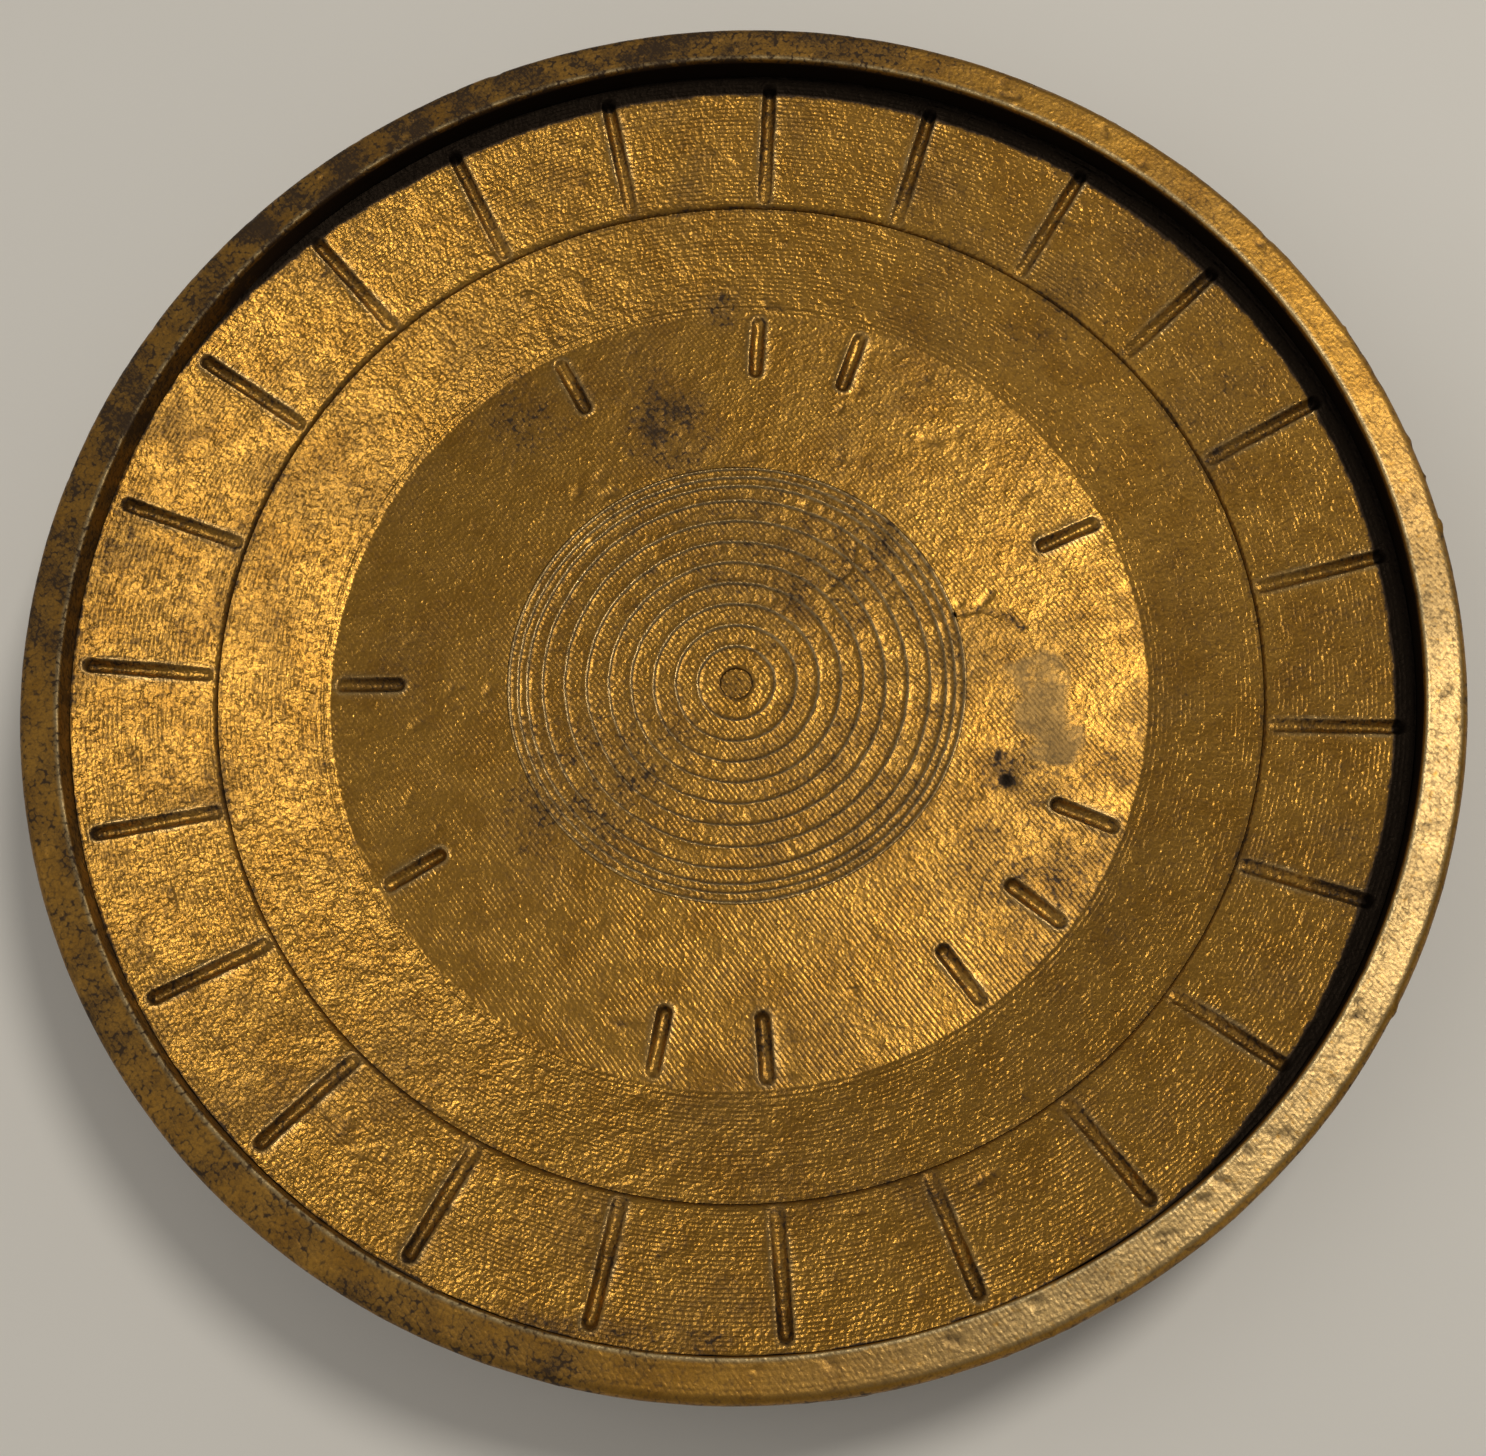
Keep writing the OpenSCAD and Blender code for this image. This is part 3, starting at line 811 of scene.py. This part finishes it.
def bronze(name, kind, lines=0.036, grain=0.032, age=0.0, gloss=0.23):
    """Cast bronze. kind says which print lines show: face, rings, hatch or body.

    lines and grain are heights in millimetres. age adds patina, from 0 to 1. gloss is the least roughness."""
    g = Graph(name)
    places = g.places()
    marks = g.tree.nodes.new("ShaderNodeAttribute")
    marks.attribute_name = "marks"
    split = g.tree.nodes.new("ShaderNodeSeparateColor")
    g.link(marks.outputs["Color"], split.inputs["Color"])
    grime_and_shade, dull, wear_and_highlight = (split.outputs[k] for k in range(3))

    grit = g.noise(places, 0.3, 2, 0.6)
    beads = g.noise(places, 0.65, 1)
    pebbles = g.cells(places, 0.5)
    clouds = g.noise(places, 14, 4, 0.6)
    patchy = g.noise(places, 3.5, 3, 0.65)

    if kind == "face":
        on_band = g.step(g.radius(places), FACE_R - 0.2, FACE_R + 0.3)
        hatch = g.math("MULTIPLY", hatch_lines(g, places), g.math("SUBTRACT", 1.0, on_band))
        rings = g.math("MULTIPLY", ring_lines(g, places, LAYER / BAND_SLOPE), on_band)
        ridge = g.math("ADD", rings, hatch)
        line_part = g.math("MULTIPLY_ADD", on_band, -0.2, 1.0)
        rough_part = g.math("MULTIPLY_ADD", on_band, 0.55, 0.55)
    elif kind == "rings":
        ridge = ring_lines(g, places, LAYER / RING_SLOPE)
        line_part = 0.65
        rough_part = 1.0
    elif kind == "body":
        ridge = level_lines(g, places)
        line_part = 1.0
        rough_part = 1.0
    else:
        ridge = hatch_lines(g, places)
        line_part = 1.0
        rough_part = 0.7
    shown = g.step(patchy, 0.36, 0.6)
    line_height = g.math("MULTIPLY", ridge, g.math("MULTIPLY_ADD", shown, lines * 0.9, lines * 0.2))
    line_height = g.math("MULTIPLY", line_height, line_part)
    skin = g.math("MULTIPLY_ADD", pebbles, grain * 0.9, g.math("MULTIPLY", grit, grain * 1.3))
    skin = g.math("MULTIPLY_ADD", beads, grain * 1.5, skin)
    skin = g.math("MULTIPLY_ADD", g.step(beads, 0.58, 0.76), grain * 0.8, skin)
    height = g.math("MULTIPLY_ADD", skin, rough_part, line_height)
    g.link(g.bump(height), g.shader.inputs["Normal"])

    valley = g.math("MULTIPLY", shown, g.math("SUBTRACT", 1.0, g.step(ridge, 0.1, 0.5)))
    speck = g.step(pebbles, 0.45, 0.15)
    age_cloud = g.math("MULTIPLY", g.step(clouds, 0.45, 0.72), age + 0.25)
    dirt_and_shade = g.math("MULTIPLY_ADD", valley, 0.12, age_cloud)
    dirt_and_shade = g.math("MULTIPLY_ADD", speck, 0.25, dirt_and_shade)
    dirt_and_shade = g.math("MULTIPLY_ADD", g.step(grit, 0.56, 0.4), 0.2, dirt_and_shade)
    # Grime above 1 turns black: real soot, and the painted shadows and painted shade carried in the grime
    # mark.
    soot_and_shadow = g.math("SUBTRACT", grime_and_shade, 1.0, clamp=True)
    uneven = g.math("MULTIPLY_ADD", g.step(patchy, 0.36, 0.62), 0.55, 0.5)
    soiled_and_shaded = g.math("MULTIPLY", g.math("MINIMUM", grime_and_shade, 1.0), uneven)
    soiled_and_shaded = g.math("MULTIPLY", soiled_and_shaded, g.math("MULTIPLY_ADD", speck, 0.5, 0.75))
    dirt_and_shade = g.math("ADD", g.math("ADD", dirt_and_shade, soiled_and_shaded), soot_and_shadow, clamp=True)

    hue = g.mix(g.step(g.noise(places, 5, 3), 0.3, 0.6), TAN, GOLD)
    # The wear mark makes the colour paler: worn metal, and the painted highlight on the rim's lit side.
    bright = g.mix(g.math("MULTIPLY", wear_and_highlight, g.step(beads, 0.1, 0.45)), hue, PALE)
    marked_colour = g.mix(soot_and_shadow, g.mix(dirt_and_shade, bright, BROWN), SOOT_AND_SHADOW)
    matte = g.math("MULTIPLY", dull, g.step(patchy, 0.25, 0.5), clamp=True)
    g.link(g.mix(matte, marked_colour, DULL), g.shader.inputs["Base Color"])
    rough = g.math("MULTIPLY_ADD", dirt_and_shade, 0.25, gloss)
    rough = g.math("MULTIPLY_ADD", matte, 0.3, rough)
    g.link(g.math("MULTIPLY_ADD", grit, 0.12, rough), g.shader.inputs["Roughness"])
    metal = g.math("MULTIPLY_ADD", dirt_and_shade, -0.35, 1.0)
    g.link(g.math("MULTIPLY_ADD", soot_and_shadow, 0.35, metal, clamp=True), g.shader.inputs["Metallic"])
    return g.material


def plain_metal(name, colour, dark, gloss):
    """Turned metal for the screws, pins and washer, with fine turning lines and stains."""
    g = Graph(name)
    places = g.places()
    stains = g.noise(places, 1.6, 4, 0.65)
    scratches = g.noise(g.vector("MULTIPLY", places, (9, 9, 1)), 0.9, 2)
    turning = level_lines(g, places)
    height = g.math("MULTIPLY_ADD", scratches, 0.02, g.math("MULTIPLY", turning, 0.012))
    g.link(g.bump(height), g.shader.inputs["Normal"])
    g.link(g.mix(g.step(stains, 0.45, 0.75), colour, dark), g.shader.inputs["Base Color"])
    g.link(g.math("MULTIPLY_ADD", stains, 0.3, gloss), g.shader.inputs["Roughness"])
    g.shader.inputs["Metallic"].default_value = 1
    return g.material


def floor_material():
    g = Graph("pale_floor")
    places = g.places()
    pale = g.mix(g.noise(places, 90, 3), (0.84, 0.825, 0.79), (0.89, 0.875, 0.84))
    g.link(pale, g.shader.inputs["Base Color"])
    g.link(g.bump(g.math("MULTIPLY", g.noise(places, 2, 3), 0.02)), g.shader.inputs["Normal"])
    g.shader.inputs["Roughness"].default_value = 0.6
    return g.material


# ---------------------------------------------------------------- stage, light and camera


def make_floor():
    half = 2.5
    mesh = bpy.data.meshes.new("floor")
    corners = [(-half, -half, 0), (half, -half, 0), (half, half, 0), (-half, half, 0)]
    mesh.from_pydata(corners, [], [(0, 1, 2, 3)])
    floor = bpy.data.objects.new("floor", mesh)
    bpy.context.collection.objects.link(floor)
    mesh.materials.append(floor_material())


def softbox(name, angle, elevation, distance, size, power, colour):
    """A round area light, aimed at the dial from that angle and elevation."""
    light = bpy.data.lights.new(name, "AREA")
    light.shape = "DISK"
    light.size = size
    light.energy = power
    light.color = colour
    lamp = bpy.data.objects.new(name, light)
    bpy.context.collection.objects.link(lamp)
    flat = math.cos(math.radians(elevation))
    x, y = polar(distance * flat, angle)
    lamp.location = (x, y, distance * math.sin(math.radians(elevation)))
    lamp.rotation_euler = (-lamp.location).to_track_quat("-Z", "Y").to_euler()


# Name, angle, elevation, distance, size, power and colour of each light
LIGHTS = (
    ("key", 43, 66, 0.8, 0.2, 2.05, (1.0, 0.94, 0.84)),
    ("fill", 192, 48, 1.2, 1.0, 1.5, (1.0, 0.95, 0.88)),
    ("low", 45, 14, 1.3, 0.9, 0.8, (1.0, 0.96, 0.9)),
    ("low", 135, 16, 1.3, 0.9, 0.8, (1.0, 0.96, 0.9)),
    ("low", 225, 22, 1.3, 0.9, 0.8, (1.0, 0.96, 0.9)),
    ("low", 315, 16, 1.3, 0.9, 0.8, (1.0, 0.96, 0.9)),
)


def make_lights():
    for row in LIGHTS:
        softbox(*row)
    world = bpy.data.worlds.new("studio")
    world.use_nodes = True
    background = world.node_tree.nodes["Background"]
    background.inputs["Color"].default_value = (1.0, 0.95, 0.86, 1)
    background.inputs["Strength"].default_value = 0.19
    bpy.context.scene.world = world
    bpy.context.scene.view_settings.view_transform = "Standard"


def make_camera():
    azimuth, elevation, distance = math.radians(10.36), math.radians(71.48), 235.8
    pan, tilt, roll = (math.radians(a) for a in (-0.76, -0.91, 7.16))
    flat = math.cos(elevation)
    away = Vector((math.sin(azimuth) * flat, -math.cos(azimuth) * flat, math.sin(elevation)))
    right = (-away).cross(Vector((0, 0, 1))).normalized()
    up = right.cross(-away)
    facing = Matrix((right, up, away))
    turn = Matrix.Rotation(roll, 3, "Z") @ Matrix.Rotation(tilt, 3, "X") @ Matrix.Rotation(pan, 3, "Y")
    place = Vector((0, 0, FACE_Z)) + away * distance
    lens = bpy.data.cameras.new("camera")
    lens.lens = 52.3
    lens.sensor_width = 36
    lens.sensor_fit = "HORIZONTAL"
    lens.shift_x = 0.027
    lens.shift_y = -0.054
    lens.clip_start = 0.01
    lens.clip_end = 20
    camera = bpy.data.objects.new("camera", lens)
    bpy.context.collection.objects.link(camera)
    camera.matrix_world = Matrix.Translation(place * MM) @ (turn @ facing).transposed().to_4x4()
    bpy.context.scene.camera = camera


make_camera()
make_lights()
make_floor()

make_chapter_ring(bronze("bronze_chapter_ring", "rings", grain=0.042, age=0.15))
make_dial_plate(bronze("bronze_dial_plate", "face", lines=0.022, grain=0.04))
make_centre_dish(bronze("bronze_centre_dish", "hatch", lines=0.032, grain=0.038))
make_centre_plug(bronze("bronze_centre_plug", "rings", lines=0.0, age=0.3))
make_rim_ring(bronze("bronze_rim_ring", "hatch", lines=0.008, grain=0.022, gloss=0.32))
make_dish_body(bronze("bronze_dish_body", "body", age=0.5, gloss=0.38))

steel = plain_metal("steel", (0.56, 0.57, 0.58), (0.30, 0.29, 0.28), 0.25)
brass = plain_metal("washer_brass", (0.72, 0.55, 0.24), (0.38, 0.26, 0.10), 0.3)
for node, metal in (("centre_screw", steel), ("ring_screws", steel), ("rim_screws", steel),
                    ("plate_pin", steel), ("ring_pin", steel), ("centre_washer", brass)):
    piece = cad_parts[node]
    for k in range(len(piece.material_slots)):
        piece.material_slots[k].material = metal
